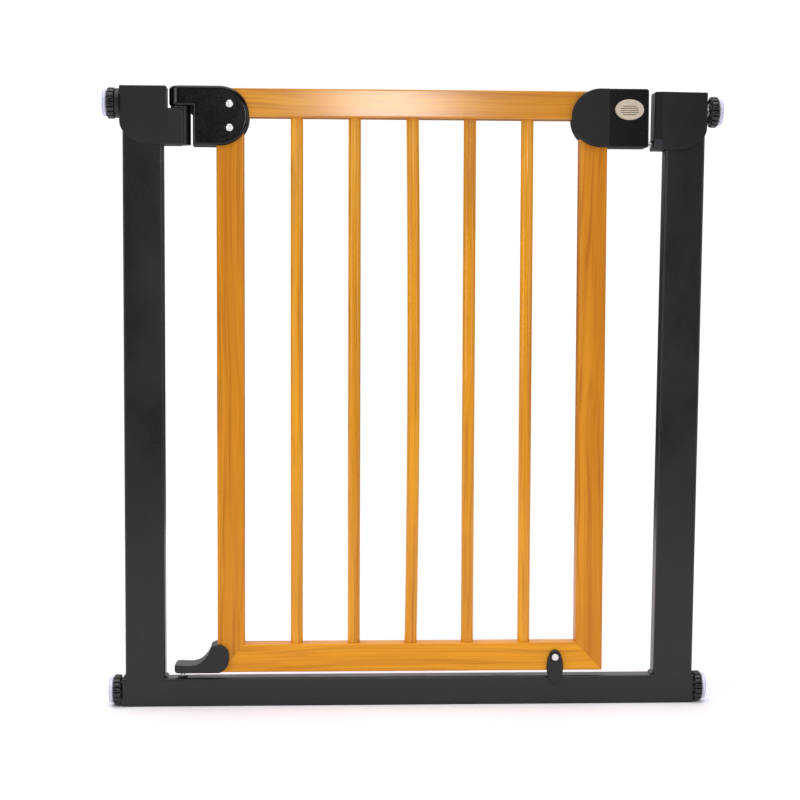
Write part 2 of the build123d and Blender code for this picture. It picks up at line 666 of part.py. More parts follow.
save(lower_hinge_arm, "lower_hinge_arm")

with BuildPart() as lower_pivot_pin:
    with BuildSketch(Plane.XY.offset(20.5)):
        with Locations((HINGE_X, 0)):
            Circle(LOW_PIN_R)
    extrude(amount=28.5)
    chamfer(lower_pivot_pin.edges().group_by(Axis.Z)[0], 0.6)
save(lower_pivot_pin, "lower_pivot_pin")

with BuildPart() as lower_arm_screws:
    for px, pz in ARM_SCREWS:
        with BuildSketch(front(ARM_Y)):
            with Locations((px, pz)):
                Circle(1.8)
        extrude(amount=16)
        with BuildSketch(front(ARM_Y)):
            with Locations((px, pz)):
                Circle(3.8)
        extrude(amount=-2.0)
    fillet(lower_arm_screws.edges().filter_by(GeomType.CIRCLE).group_by(Axis.Y)[-1], 0.9)
save(lower_arm_screws, "lower_arm_screws")

# ------------------------------------------------------------ latch housing
LH_XC, LH_ZC, LH_R = 228.2, 720.9, 35.3
LH_X1 = 287.2
LH_TOP, LH_BOT = LH_ZC + LH_R, LH_ZC - LH_R
LH_RIDGE = 238.6
LH_YD, LH_YF = -17.5, -15.5            # proud D part, recessed button part
CAV = (240.0, 283.2, LH_BOT + 2.8, LH_TOP - 3.0)     # x0, x1, z0, z1
CAV_YF, CAV_YR = -13.0, 13.5
BOSS_X, BOSS_Z = 277.5, 699.5          # third housing screw, clear of the wood


# room for the panel's top corner
WOOD_CORNER = ((PANEL_X + 0.05, LH_BOT - 5), (PANEL_X + 0.05, PANEL_Z1 + 0.05),
               (150, PANEL_Z1 + 0.05), (150, RZ1 - 0.05), (SX - 0.05, RZ1 - 0.05),
               (SX - 0.05, LH_BOT - 5))

with BuildPart() as latch_housing_front:
    with BuildSketch(front(0)):
        with BuildLine():
            a = Line((LH_XC, LH_BOT), (LH_X1, LH_BOT))
            b = Line(a @ 1, (LH_X1, LH_TOP))
            c = Line(b @ 1, (LH_XC, LH_TOP))
            CenterArc((LH_XC, LH_ZC), LH_R, 90, 180)
        make_face()
    extrude(amount=-LH_YF)
    ends = latch_housing_front.edges().filter_by(Axis.Y).filter_by(
        lambda e: e.center().X > LH_X1 - 1)
    fillet(ends, 3.0)
    fillet(latch_housing_front.faces().sort_by(Axis.Y)[0].edges(), 1.6)
    # proud D-shaped pad
    with BuildSketch(front(-8)):
        with BuildLine():
            a = Line((LH_XC, LH_BOT), (LH_RIDGE, LH_BOT))
            b = Line(a @ 1, (LH_RIDGE, LH_TOP))
            c = Line(b @ 1, (LH_XC, LH_TOP))
            CenterArc((LH_XC, LH_ZC), LH_R, 90, 180)
        make_face()
    extrude(amount=-LH_YD - 8)
    fillet(latch_housing_front.faces().sort_by(Axis.Y)[0].edges(), 1.8)
    with BuildSketch(front(1.0)):
        with BuildLine():
            Polyline(*WOOD_CORNER, close=True)
        make_face()
    extrude(amount=PANEL_D / 2 + 1.05, mode=Mode.SUBTRACT)
    with BuildSketch(front(1)):
        with Locations(((CAV[0] + CAV[1]) / 2, (CAV[2] + CAV[3]) / 2)):
            RectangleRounded(CAV[1] - CAV[0], CAV[3] - CAV[2], 1.5)
    extrude(amount=1 - CAV_YF, mode=Mode.SUBTRACT)
    with BuildSketch(front(-8)):
        with Locations((BUTTON_X, BUTTON_Z)):
            Ellipse(BUTTON_A + 0.3, BUTTON_B + 0.3)
    extrude(amount=12, mode=Mode.SUBTRACT)
    with BuildSketch(side(247.0, BOLT_Z)):
        Circle(BOLT_R + 0.08)
    extrude(amount=42, mode=Mode.SUBTRACT)
    # bosses that take the rear screws
    with BuildSketch(front(-13.2)):
        with Locations(*LS):
            Circle(1.3)
    extrude(amount=-14, mode=Mode.SUBTRACT)
save(latch_housing_front, "latch_housing_front")

with BuildPart() as latch_housing_rear:
    with BuildSketch(front(COVER_Y)):
        with BuildLine():
            a = Line((LH_XC, LH_BOT), (LH_X1, LH_BOT))
            b = Line(a @ 1, (LH_X1, LH_TOP))
            c = Line(b @ 1, (LH_XC, LH_TOP))
            EllipticalCenterArc((LH_XC, LH_ZC), LH_R - 2.0, LH_R,
                                start_angle=90, arc_size=180)
        make_face()
    extrude(amount=COVER_Y)
    ends = latch_housing_rear.edges().filter_by(Axis.Y).filter_by(
        lambda e: e.center().X > LH_X1 - 1)
    fillet(ends, 3.0)
    fillet(latch_housing_rear.faces().sort_by(Axis.Y)[-1].edges(), 1.8)
    with BuildSketch(front(PANEL_D / 2 + 0.05)):
        with BuildLine():
            Polyline(*WOOD_CORNER, close=True)
        make_face()
    extrude(amount=PANEL_D / 2 + 1.05, mode=Mode.SUBTRACT)
    with BuildSketch(front(CAV_YR)):
        with Locations(((CAV[0] + CAV[1]) / 2, (CAV[2] + CAV[3]) / 2)):
            RectangleRounded(CAV[1] - CAV[0], CAV[3] - CAV[2], 1.5)
    extrude(amount=CAV_YR + 1, mode=Mode.SUBTRACT)
    with BuildSketch(side(247.0, BOLT_Z)):
        Circle(BOLT_R + 0.08)
    extrude(amount=42, mode=Mode.SUBTRACT)
    # guide post for the button spring
    with BuildSketch(front(CAV_YR)):
        with Locations((BUTTON_X, BUTTON_Z + 4)):
            Circle(2.6)
    extrude(amount=12)
    with BuildSketch(front(COVER_Y + 1)):
        with Locations(*LS):
            Circle(2.02)
    extrude(amount=20, mode=Mode.SUBTRACT)
save(latch_housing_rear, "latch_housing_rear")

with BuildPart() as latch_housing_screws:
    for px, pz in LS:
        with BuildSketch(front(COVER_Y)):
            with Locations((px, pz)):
                Circle(2.0)
        extrude(amount=COVER_Y + 12.0)
        with BuildSketch(front(COVER_Y)):
            with Locations((px, pz)):
                Circle(4.0)
        extrude(amount=-2.4)
        with BuildSketch(front(-12.0)):
            with Locations((px, pz)):
                Circle(1.28)
        extrude(amount=1.0)
    fillet(latch_housing_screws.edges().filter_by(GeomType.CIRCLE).group_by(Axis.Y)[-1], 1.0)
save(latch_housing_screws, "latch_housing_screws")

# wedge line shared by the button leg and the bolt slider (in plan):
# y = WY0 + (x - WX0) / WEDGE_K
WX0, WY0 = 262.0, -8.0


def wedge_y(x):
    return WY0 + (x - WX0) / WEDGE_K


with BuildPart() as latch_bolt:
    with BuildSketch(side(256.0, BOLT_Z)):
        Circle(BOLT_R)
    extrude(amount=294.7 - 256.0)
    chamfer(latch_bolt.edges().group_by(Axis.X)[-1], 1.0)
    with BuildSketch(Plane.XY.offset(BOLT_Z)):
        with BuildLine():
            Polyline((256.0, wedge_y(256.0) + 0.4), (276.0, wedge_y(276.0) + 0.4),
                     (276.0, 6.0), (256.0, 6.0), close=True)
        make_face()
    extrude(amount=22.0)
    # peg for the return spring
    with BuildSketch(side(256.0, 704.0, -1)):
        with Locations((0, 0)):
            Circle(2.0)
    extrude(amount=7.0)
save(latch_bolt, "latch_bolt")

with BuildPart() as release_button:
    with BuildSketch(front(-12.8)):
        with Locations((BUTTON_X, BUTTON_Z)):
            Ellipse(BUTTON_A, BUTTON_B)
    extrude(amount=5.2)
    fillet(release_button.faces().sort_by(Axis.Y)[0].edges(), 1.6)
    # retaining flange behind the wall
    with BuildSketch(front(-11.2)):
        with Locations((BUTTON_X, BUTTON_Z)):
            Ellipse(BUTTON_A + 1.9, BUTTON_B + 1.9)
    extrude(amount=1.6)
    # leg with the wedge that draws the bolt
    with BuildSketch(Plane.XY.offset(696.0)):
        with BuildLine():
            Polyline((262.0, -12.8), (280.0, -12.8), (280.0, wedge_y(280.0)),
                     (262.0, wedge_y(262.0)), close=True)
        make_face()
    extrude(amount=27.0)
    # finger grooves
    with BuildSketch(front(-19)):
        for k in range(5):
            hw = 11.1 if k in (1, 2, 3) else 8.4
            with Locations((BUTTON_X, BUTTON_Z - 1.2 + 2.5 * (2 - k))):
                SlotOverall(2 * hw, 0.85)
    extrude(amount=-1.9, mode=Mode.SUBTRACT)
save(release_button, "release_button")


def coil(length, radius, wire, turns, origin, direction, name):
    """Round-wire compression spring."""
    pitch = (length - wire - 0.02) / turns
    with BuildPart() as spring:
        with BuildLine() as run:
            Helix(pitch=pitch, height=pitch * turns, radius=radius,
                  center=origin, direction=direction)
        with BuildSketch(Plane(origin=run.line @ 0, z_dir=run.line % 0)):
            Circle(wire / 2)
        sweep(path=run.wires()[0], is_frenet=True)
    save(spring, name)


coil(15.4, 3.0, 0.8, 6.0, (240.7, 0, 704.0), (1, 0, 0), "bolt_spring")
coil(24.2, 3.7, 0.9, 8.0, (BUTTON_X, -10.6, BUTTON_Z + 4), (0, 1, 0), "button_spring")

# ----------------------------------------------------------------- stop tab
with BuildPart() as stop_tab:
    with BuildSketch(front(-12.35)):
        with Locations((TAB_X, 46.3)):
            Ellipse(10.2, 22.1)
    extrude(amount=4.6)
    fillet(stop_tab.faces().sort_by(Axis.Y)[0].edges(), 2.2)
    with BuildSketch(front(-20)):
        with Locations((TAB_X, TAB_PIVOT_Z)):
            Circle(5.3)
    extrude(amount=-4.6, mode=Mode.SUBTRACT)
    with BuildSketch(front(-20)):
        with Locations((TAB_X, TAB_PIVOT_Z)):
            Circle(2.08)
    extrude(amount=-10, mode=Mode.SUBTRACT)
    # detent pip below the screw
    with BuildSketch(front(-16.0)):
        with Locations((TAB_X + 0.8, TAB_PIVOT_Z - 7.4)):
            Circle(1.1)
    extrude(amount=1.5)
save(stop_tab, "stop_tab")

with BuildPart() as stop_tab_screw:
    with BuildSketch(front(3.5)):
        with Locations((TAB_X, TAB_PIVOT_Z)):
            Circle(2.0)
    extrude(amount=19.0)
    with BuildSketch(front(-15.5)):
        with Locations((TAB_X, TAB_PIVOT_Z)):
            Circle(4.5)
    extrude(amount=2.5)
    fillet(stop_tab_screw.edges().filter_by(GeomType.CIRCLE).group_by(Axis.Y)[0], 1.4)
    with BuildSketch(front(-16.9)):
        with Locations((TAB_X, TAB_PIVOT_Z)):
            Rectangle(4.6, 1.1, rotation=20)
            Rectangle(1.1, 4.6, rotation=20)
    extrude(amount=3, mode=Mode.SUBTRACT)
save(stop_tab_screw, "stop_tab_screw")


# ---------------------------------------------------------------- adjusters
def adjuster(base, rod_in, tag):
    """Hand wheel, threaded spindle and wall pad; base is the plane at the
    wheel's outer face, its normal pointing away from the frame."""
    with BuildPart() as wheel:
        with BuildSketch(base.offset(-WHEEL_T)):
            Circle(WHEEL_R - 1.0)
            with PolarLocations(WHEEL_R - 1.7, 18):
                Circle(1.7)
        extrude(amount=WHEEL_T)
        with BuildSketch(Plane(origin=base.origin, x_dir=base.z_dir,
                               z_dir=base.x_dir.cross(base.z_dir).cross(base.z_dir) * -1)):
            with BuildLine():
                Polyline((-WHEEL_T, 0), (-WHEEL_T, WHEEL_R - 2.0),
                         (-WHEEL_T + 2.0, WHEEL_R + 0.2), (-2.0, WHEEL_R + 0.2),
                         (0, WHEEL_R - 2.0), (0, 0), close=True)
            make_face()
        revolve(axis=Axis(base.origin, base.z_dir), revolution_arc=360,
                mode=Mode.INTERSECT)
        # dished inner face around the hub
        with BuildSketch(base.offset(-WHEEL_T)):
            Circle(14.6)
            Circle(10.5, mode=Mode.SUBTRACT)
        extrude(amount=3.0, mode=Mode.SUBTRACT)
        with BuildSketch(base.offset(-WHEEL_T - 1.0)):
            Circle(10.5)
        extrude(amount=1.5)
        with BuildSketch(base.offset(-WHEEL_T - 2)):
            Circle(ROD_R)
        extrude(amount=WHEEL_T + 4, mode=Mode.SUBTRACT)
    save(wheel, "wheel_" + tag)
    with BuildPart() as rod:
        with BuildSketch(base.offset(-rod_in)):
            Circle(ROD_R)
        extrude(amount=rod_in)
        with BuildSketch(base):
            Circle(4.0)
        extrude(amount=3.0)
    save(rod, "spindle_" + tag)
    with BuildPart() as pad:
        with BuildSketch(base.offset(0.4)):
            Circle(PAD_R)
        extrude(amount=PAD_PROUD - 0.4)
        outer_edge = pad.edges().filter_by(GeomType.CIRCLE).sort_by(
            lambda e: (e.arc_center - base.origin).dot(base.z_dir))[-1]
        fillet(outer_edge, 1.5)
        with BuildSketch(base.offset(0.4)):
            Circle(PAD_R - 2.2)
            Circle(6.6, mode=Mode.SUBTRACT)
        extrude(amount=2.6, mode=Mode.SUBTRACT)
        with BuildSketch(base.offset(0.2)):
            Circle(4.0 + 0.08)
        extrude(amount=3.0, mode=Mode.SUBTRACT)
    save(pad, "wall_pad_" + tag)


WHEEL_TL, WHEEL_TR_U = -368.4, None
WHEEL_BL, WHEEL_BR = -364.6, 362.4
TR_U = 64.6              # wheel outer face, along the leaning frame's u axis
adjuster(Plane(origin=(WHEEL_TL, 0, TOP_ADJ_Z), x_dir=(0, 1, 0), z_dir=(-1, 0, 0)),
         62.0, "top_left")
adjuster(Plane(origin=rpoint(TR_U, 0, TOP_ADJ_W), x_dir=(0, 1, 0), z_dir=R_U),
         61.0, "top_right")
adjuster(Plane(origin=(WHEEL_BL, 0, LOW_ADJ_Z), x_dir=(0, 1, 0), z_dir=(-1, 0, 0)),
         62.0, "bottom_left")
adjuster(Plane(origin=(WHEEL_BR, 0, LOW_ADJ_Z), x_dir=(0, 1, 0), z_dir=(1, 0, 0)),
         62.0, "bottom_right")

with BuildPart() as spindle_lock_collar:
    with BuildSketch(side(-357.6, TOP_ADJ_Z)):
        Circle(17.8)
        Circle(ROD_R + RUN, mode=Mode.SUBTRACT)
    extrude(amount=4.3)
    with BuildSketch(side(-358.7, TOP_ADJ_Z)):
        Circle(17.8)
        Circle(11.2, mode=Mode.SUBTRACT)
    extrude(amount=1.1)
    fillet(spindle_lock_collar.edges().filter_by(GeomType.CIRCLE).filter_by(
        lambda e: e.radius > 17), 0.8)
save(spindle_lock_collar, "spindle_lock_collar")

tr = rpoint(TR_U + PAD_PROUD, 0, TOP_ADJ_W)
print("top right pad face", tr, "axis", R_U)
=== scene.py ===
import json
import math
import bpy
import bmesh
from mathutils import Matrix, Vector


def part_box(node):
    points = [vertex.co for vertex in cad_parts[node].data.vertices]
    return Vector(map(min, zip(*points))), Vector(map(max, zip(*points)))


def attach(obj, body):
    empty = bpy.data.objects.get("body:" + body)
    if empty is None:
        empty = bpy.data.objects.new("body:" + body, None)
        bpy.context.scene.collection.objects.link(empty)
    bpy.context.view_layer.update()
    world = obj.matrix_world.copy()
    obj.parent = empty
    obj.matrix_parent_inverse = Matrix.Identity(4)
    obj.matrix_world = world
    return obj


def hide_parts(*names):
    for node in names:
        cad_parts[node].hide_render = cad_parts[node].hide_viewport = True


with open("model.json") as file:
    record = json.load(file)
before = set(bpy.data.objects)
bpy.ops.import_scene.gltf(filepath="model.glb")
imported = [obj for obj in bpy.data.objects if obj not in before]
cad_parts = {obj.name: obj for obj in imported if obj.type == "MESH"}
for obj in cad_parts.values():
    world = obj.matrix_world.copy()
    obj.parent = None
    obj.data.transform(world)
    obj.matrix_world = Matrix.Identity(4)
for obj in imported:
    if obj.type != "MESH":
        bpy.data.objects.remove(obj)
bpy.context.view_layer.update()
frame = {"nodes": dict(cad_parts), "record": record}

NODES = frame["nodes"]
SCENE = bpy.context.scene


# ------------------------------------------------------------------ camera
def make_camera():
    yaw, pitch, roll = (math.radians(a) for a in (2.7409, -3.4218, -0.20986))
    fw = Vector((math.sin(yaw) * math.cos(pitch), math.cos(yaw) * math.cos(pitch), math.sin(pitch)))
    r = Vector((math.cos(yaw), -math.sin(yaw), 0.0))
    d = fw.cross(r)
    r2 = r * math.cos(roll) + d * math.sin(roll)
    d2 = d * math.cos(roll) - r * math.sin(roll)
    data = bpy.data.cameras.new("camera")
    data.sensor_width = 36.0
    data.lens = 1685.345 / 800.0 * 36.0
    data.clip_start, data.clip_end = 0.05, 60.0
    cam = bpy.data.objects.new("camera", data)
    m = Matrix.Identity(4)
    for k, v in enumerate((r2, -d2, -fw)):
        m[0][k], m[1][k], m[2][k] = v
    m.translation = Vector((-0.11281, -2.06446, 0.50004))
    cam.matrix_world = m
    SCENE.collection.objects.link(cam)
    SCENE.camera = cam


make_camera()
SCENE.view_settings.view_transform = "Standard"
SCENE.view_settings.look = "None"


# ------------------------------------------------------------------ lights
def area(name, loc, target, size, power, colour=(1, 1, 1)):
    data = bpy.data.lights.new(name, "AREA")
    data.shape = "RECTANGLE"
    data.size, data.size_y = size
    data.energy = power
    data.color = colour
    o = bpy.data.objects.new(name, data)
    o.location = loc
    o.rotation_euler = (Vector(target) - Vector(loc)).to_track_quat("-Z", "Y").to_euler()
    SCENE.collection.objects.link(o)
    return o


area("softbox_left", (-2.6, -1.7, 1.2), (0, 0, 0.45), (1.3, 2.0), 29)
area("softbox_right", (2.5, -1.8, 1.2), (0, 0, 0.45), (1.3, 2.0), 25)
area("softbox_front", (0.085, -2.75, 1.01), (0, 0, 0.6), (0.28, 0.36), 8)
sun = bpy.data.lights.new("overhead", "SUN")
sun.energy, sun.angle = 2.5, math.radians(70)
overhead = bpy.data.objects.new("overhead", sun)
overhead.rotation_euler = (math.radians(12), math.radians(-6), 0)
SCENE.collection.objects.link(overhead)

world = bpy.data.worlds.new("studio")
SCENE.world = world
world.use_nodes = True
wt = world.node_tree
wt.nodes.clear()
w_out = wt.nodes.new("ShaderNodeOutputWorld")
w_mix = wt.nodes.new("ShaderNodeMixShader")
w_path = wt.nodes.new("ShaderNodeLightPath")
w_room = wt.nodes.new("ShaderNodeBackground")
w_wall = wt.nodes.new("ShaderNodeBackground")
w_room.inputs["Color"].default_value = (1.0, 0.95, 1.0, 1)
# a dim studio on the camera's side, a white wall behind the object above its base
w_dir = wt.nodes.new("ShaderNodeTexCoord")
w_sep = wt.nodes.new("ShaderNodeSeparateXYZ")
wt.links.new(w_dir.outputs["Generated"], w_sep.inputs[0])


def w_span(axis, lo, hi, to_lo, to_hi):
    n = wt.nodes.new("ShaderNodeMapRange")
    n.interpolation_type = "SMOOTHSTEP"
    for k, v in (("From Min", lo), ("From Max", hi), ("To Min", to_lo), ("To Max", to_hi)):
        n.inputs[k].default_value = v
    wt.links.new(w_sep.outputs[axis], n.inputs["Value"])
    return n.outputs[0]


w_level = wt.nodes.new("ShaderNodeMath")
w_level.operation = "MULTIPLY"
wt.links.new(w_span("Y", -0.05, 0.75, 0.07, 1.0), w_level.inputs[0])
wt.links.new(w_span("Z", 0.04, 0.20, 0.05, 1.0), w_level.inputs[1])
w_up = wt.nodes.new("ShaderNodeMath")
w_up.operation = "MAXIMUM"
w_up.inputs[1].default_value = 0.045
wt.links.new(w_level.outputs[0], w_up.inputs[0])
wt.links.new(w_up.outputs[0], w_room.inputs["Strength"])
w_wall.inputs["Color"].default_value = (1, 1, 1, 1)
w_wall.inputs["Strength"].default_value = 1.05
wt.links.new(w_path.outputs["Is Camera Ray"], w_mix.inputs[0])
wt.links.new(w_room.outputs[0], w_mix.inputs[1])
wt.links.new(w_wall.outputs[0], w_mix.inputs[2])
wt.links.new(w_mix.outputs[0], w_out.inputs[0])


# --------------------------------------------------------------- materials
class Mat:
    """A small helper around one procedural material."""

    def __init__(self, name):
        self.m = bpy.data.materials.new(name)
        self.m.use_nodes = True
        self.t = self.m.node_tree
        self.b = next(n for n in self.t.nodes if n.type == "BSDF_PRINCIPLED")
        self.tc = self.t.nodes.new("ShaderNodeTexCoord")

    def set(self, **kw):
        for k, v in kw.items():
            s = self.b.inputs[k.replace("_", " ")]
            s.default_value = (*v, 1.0) if isinstance(v, tuple) and len(v) == 3 else v
        return self

    def node(self, kind, props=None, **inputs):
        n = self.t.nodes.new(kind)
        for k, v in (props or {}).items():
            setattr(n, k, v)
        for k, v in inputs.items():
            k = k.replace("_", " ")
            if isinstance(v, bpy.types.NodeSocket):
                self.t.links.new(v, n.inputs[k])
            else:
                n.inputs[k].default_value = v
        return n

    def mapped(self, scale, loc=(0, 0, 0), rot=(0, 0, 0), source=None):
        return self.node("ShaderNodeMapping", Vector=source or self.tc.outputs["Object"],
                         Location=loc, Rotation=rot, Scale=scale).outputs[0]

    def noise(self, vector, scale=1.0, detail=2.0, rough=0.5, distortion=0.0):
        return self.node("ShaderNodeTexNoise", Vector=vector, Scale=scale, Detail=detail,
                         Roughness=rough, Distortion=distortion).outputs["Fac"]

    def math(self, op, a, b=0.0, clamp=False):
        n = self.t.nodes.new("ShaderNodeMath")
        n.operation, n.use_clamp = op, clamp
        for k, v in enumerate((a, b)):
            if isinstance(v, bpy.types.NodeSocket):
                self.t.links.new(v, n.inputs[k])
            else:
                n.inputs[k].default_value = v
        return n.outputs[0]

    def span(self, value, lo, hi, to_lo=0.0, to_hi=1.0):
        return self.node("ShaderNodeMapRange", Value=value, From_Min=lo, From_Max=hi,
                         To_Min=to_lo, To_Max=to_hi).outputs[0]

    def mix(self, fac, a, b, blend="MIX"):
        n = self.t.nodes.new("ShaderNodeMix")
        n.data_type, n.blend_type = "RGBA", blend
        for k, v in ((0, fac), (6, a), (7, b)):
            if isinstance(v, bpy.types.NodeSocket):
                self.t.links.new(v, n.inputs[k])
            else:
                n.inputs[k].default_value = (*v, 1.0) if isinstance(v, tuple) else v
        return n.outputs[2]

    def axis(self, name):
        """One coordinate of the row frame, in metres."""
        n = self.node("ShaderNodeSeparateXYZ", Vector=self.tc.outputs["Object"])
        return n.outputs[name]

    def bump(self, height, strength=0.3, distance=0.0002, normal=None):
        n = self.node("ShaderNodeBump", Height=height, Strength=strength, Distance=distance)
        if normal is not None:
            self.t.links.new(normal, n.inputs["Normal"])
        return n.outputs[0]

    def to(self, socket, name):
        self.t.links.new(socket, self.b.inputs[name])
        return self


def paint(name, base, rough, peel=1.0, spec=0.5):
    """Powder-coated steel: fine orange peel, a slight cloudiness, a few duller rubs."""
    m = Mat(name)
    peel_n = m.noise(m.mapped((900, 900, 900)), detail=3, rough=0.55)
    cloud = m.noise(m.mapped((14, 14, 9)), detail=4, rough=0.6)
    lo = tuple(c * 0.80 for c in base)
    hi = tuple(c * 1.22 for c in base)
    m.to(m.mix(m.span(cloud, 0.35, 0.68), lo, hi), "Base Color")
    r = m.math("ADD", m.span(cloud, 0.3, 0.7, rough - 0.04, rough + 0.06),
               m.span(peel_n, 0.3, 0.7, -0.03, 0.03))
    m.to(r, "Roughness")
    m.to(m.bump(peel_n, 0.14 * peel, 0.00022), "Normal")
    return m.set(Specular_IOR_Level=spec).m


def plastic(name, base, rough, grain=0.3, grain_scale=1400, spec=0.5):
    """Moulded plastic: spark-eroded grain, faint flow marks."""
    m = Mat(name)
    fine = m.noise(m.mapped((grain_scale,) * 3), detail=2, rough=0.6)
    flow = m.noise(m.mapped((22, 30, 16)), detail=3, rough=0.55)
    lo = tuple(c * 0.86 for c in base)
    hi = tuple(c * 1.18 for c in base)
    m.to(m.mix(m.span(flow, 0.32, 0.7), lo, hi), "Base Color")
    m.to(m.math("ADD", m.span(flow, 0.3, 0.7, rough - 0.035, rough + 0.045),
                m.span(fine, 0.3, 0.7, -0.04, 0.04)), "Roughness")
    m.to(m.bump(fine, grain, 0.00012), "Normal")
    return m.set(Specular_IOR_Level=spec).m


def two_texture(name, grained, smooth, split_x, spec=0.42):
    """One moulding with a grained pad left of split_x and a smooth field right of it."""
    m = Mat(name)
    fine = m.noise(m.mapped((1300, 1300, 1300)), detail=2, rough=0.6)
    scuff = m.noise(m.mapped((130, 60, 420), rot=(0, 0.7, 0)), detail=4, rough=0.7)
    right = m.span(m.axis("X"), split_x - 0.0012, split_x + 0.0012)
    c = m.mix(m.span(scuff, 0.45, 0.75), tuple(v * 0.85 for v in grained),
              tuple(v * 1.35 for v in grained))
    m.to(m.mix(right, c, smooth), "Base Color")
    r = m.math("ADD", m.span(right, 0, 1, 0.44, 0.26), m.span(fine, 0.3, 0.7, -0.04, 0.04))
    m.to(r, "Roughness")
    m.to(m.bump(fine, 0.28, 0.00012), "Normal")
    return m.set(Specular_IOR_Level=spec).m


def wood(name, along, seed, tone=1.0, gold=1.0, coat=0.16, coat_rough=0.16):
    """Honey-stained softwood under satin varnish; the grain runs along X or Z."""
    m = Mat(name)
    turn = (0, math.radians(90), 0) if along == "X" else (0, 0, 0)
    local = m.mapped((1, 1, 1), loc=(seed * 1.37, seed * 0.71, seed * 2.9), rot=turn)
    # slow wander of the grain along the length
    drift = m.noise(m.mapped((5.0, 5.0, 2.2), source=local), detail=2, rough=0.5)
    sway = m.math("MULTIPLY", m.math("SUBTRACT", drift, 0.5), 0.040)
    off = m.node("ShaderNodeCombineXYZ", X=sway, Y=m.math("MULTIPLY", sway, 0.6), Z=0.0).outputs[0]
    add = m.node("ShaderNodeVectorMath", {"operation": "ADD"})
    m.t.links.new(local, add.inputs[0])
    m.t.links.new(off, add.inputs[1])
    bent = add.outputs[0]
    rings = m.noise(m.mapped((95, 95, 0.9), source=bent), detail=1.5, rough=0.45)
    rings = m.math("ABSOLUTE", m.math("SINE", m.math("MULTIPLY", rings, 19.0)))
    streak = m.noise(m.mapped((260, 260, 3.4), source=bent), detail=3, rough=0.55)
    broad = m.noise(m.mapped((46, 46, 2.0), source=bent), detail=2, rough=0.5)
    patch = m.noise(m.mapped((16, 16, 7), source=bent), detail=2, rough=0.5)
    fibre = m.noise(m.mapped((1200, 1200, 22), source=bent), detail=2, rough=0.6)
    light = (0.82 * tone, 0.335 * tone * gold, 0.0120)
    mid = (0.68 * tone, 0.248 * tone * gold, 0.0048)
    dark = (0.40 * tone, 0.110 * tone * gold, 0.0025)
    c = m.mix(m.span(broad, 0.34, 0.66), light, mid)
    late = m.math("MULTIPLY", m.math("POWER", rings, 5.0), m.span(streak, 0.34, 0.62, 0.10, 0.42))
    c = m.mix(late, c, dark)
    c = m.mix(m.span(streak, 0.52, 0.74, 0.0, 0.55), c, dark)
    c = m.mix(m.span(patch, 0.55, 0.75, 0.0, 0.16), c, dark)
    c = m.mix(m.span(fibre, 0.35, 0.75, 0.0, 0.14), c, dark)
    m.to(c, "Base Color")
    m.to(m.span(m.math("ADD", fibre, streak), 0.7, 1.3, 0.38, 0.52), "Roughness")
    h = m.math("ADD", m.math("MULTIPLY", fibre, 0.5), m.math("MULTIPLY", rings, 0.4))
    m.to(m.bump(h, 0.12, 0.00018), "Normal")
    return m.set(Specular_IOR_Level=0.20, Coat_Weight=coat, Coat_Roughness=coat_rough,
                 Coat_IOR=1.45).m


def metal(name, base, rough, brush=(60, 60, 900)):
    """Bright zinc plate with fine drawn lines."""
    m = Mat(name)
    lines = m.noise(m.mapped(brush), detail=3, rough=0.65)
    blotch = m.noise(m.mapped((140, 140, 140)), detail=2)
    m.to(m.mix(m.span(blotch, 0.35, 0.7), tuple(c * 0.85 for c in base), base), "Base Color")
    m.to(m.math("ADD", m.span(lines, 0.3, 0.7, rough - 0.08, rough + 0.1),
                m.span(blotch, 0.3, 0.7, -0.03, 0.05)), "Roughness")
    m.to(m.bump(lines, 0.12, 0.0001), "Normal")
    return m.set(Metallic=1.0).m


def milky(name, lo, hi, rough=0.16, trans=0.25, glow=0.0):
    """Clear soft plastic of the wall pads, seen as a milky, faintly blue body."""
    m = Mat(name)
    haze = m.noise(m.mapped((160, 160, 160)), detail=3)
    m.to(m.mix(m.span(haze, 0.35, 0.7), lo, hi), "Base Color")
    m.to(m.span(haze, 0.3, 0.7, rough - 0.05, rough + 0.08), "Roughness")
    m.to(m.bump(haze, 0.06, 0.0002), "Normal")
    return m.set(Transmission_Weight=trans, IOR=1.43).m


STEEL = paint("powder_coat", (0.0090, 0.0076, 0.0090), 0.31, spec=0.45)
MATTE = plastic("moulded_black", (0.0110, 0.0102, 0.0106), 0.40, spec=0.38)
STRIKER = plastic("moulded_black_smooth", (0.0092, 0.0084, 0.0090), 0.34, grain=0.2, spec=0.38)
LATCH = two_texture("latch_shell", (0.0104, 0.0098, 0.0102), (0.0024, 0.0022, 0.0023), 0.2390, spec=0.30)
GLOSS = plastic("moulded_black_gloss", (0.0026, 0.0025, 0.0030), 0.17, grain=0.03, grain_scale=600, spec=0.33)
WHEEL = plastic("wheel_black", (0.006, 0.006, 0.0065), 0.24, grain=0.12)
KEEPER = plastic("keeper_plastic", (0.016, 0.014, 0.021), 0.36)
BUTTON = plastic("button_beige", (0.54, 0.465, 0.36), 0.30, grain=0.10)


def paint_groove_shade(material, centre, half, top, deep, colour):
    """Painted shade: darker floors in the cut grooves of a moulding that faces -Y."""
    m = Mat.__new__(Mat)
    m.m, m.t = material, material.node_tree
    m.b = next(n for n in m.t.nodes if n.type == "BSDF_PRINCIPLED")
    m.tc = next(n for n in m.t.nodes if n.type == "TEX_COORD")
    groove_shade_mask = m.span(m.axis("Y"), top, deep)
    for axis, c, h in (("X", centre[0], half[0]), ("Z", centre[1], half[1])):
        d = m.math("ABSOLUTE", m.math("SUBTRACT", m.axis(axis), c))
        groove_shade_mask = m.math("MULTIPLY", groove_shade_mask, m.math("LESS_THAN", d, h))
    old = m.b.inputs["Base Color"].links[0].from_socket
    m.to(m.mix(groove_shade_mask, old, colour), "Base Color")
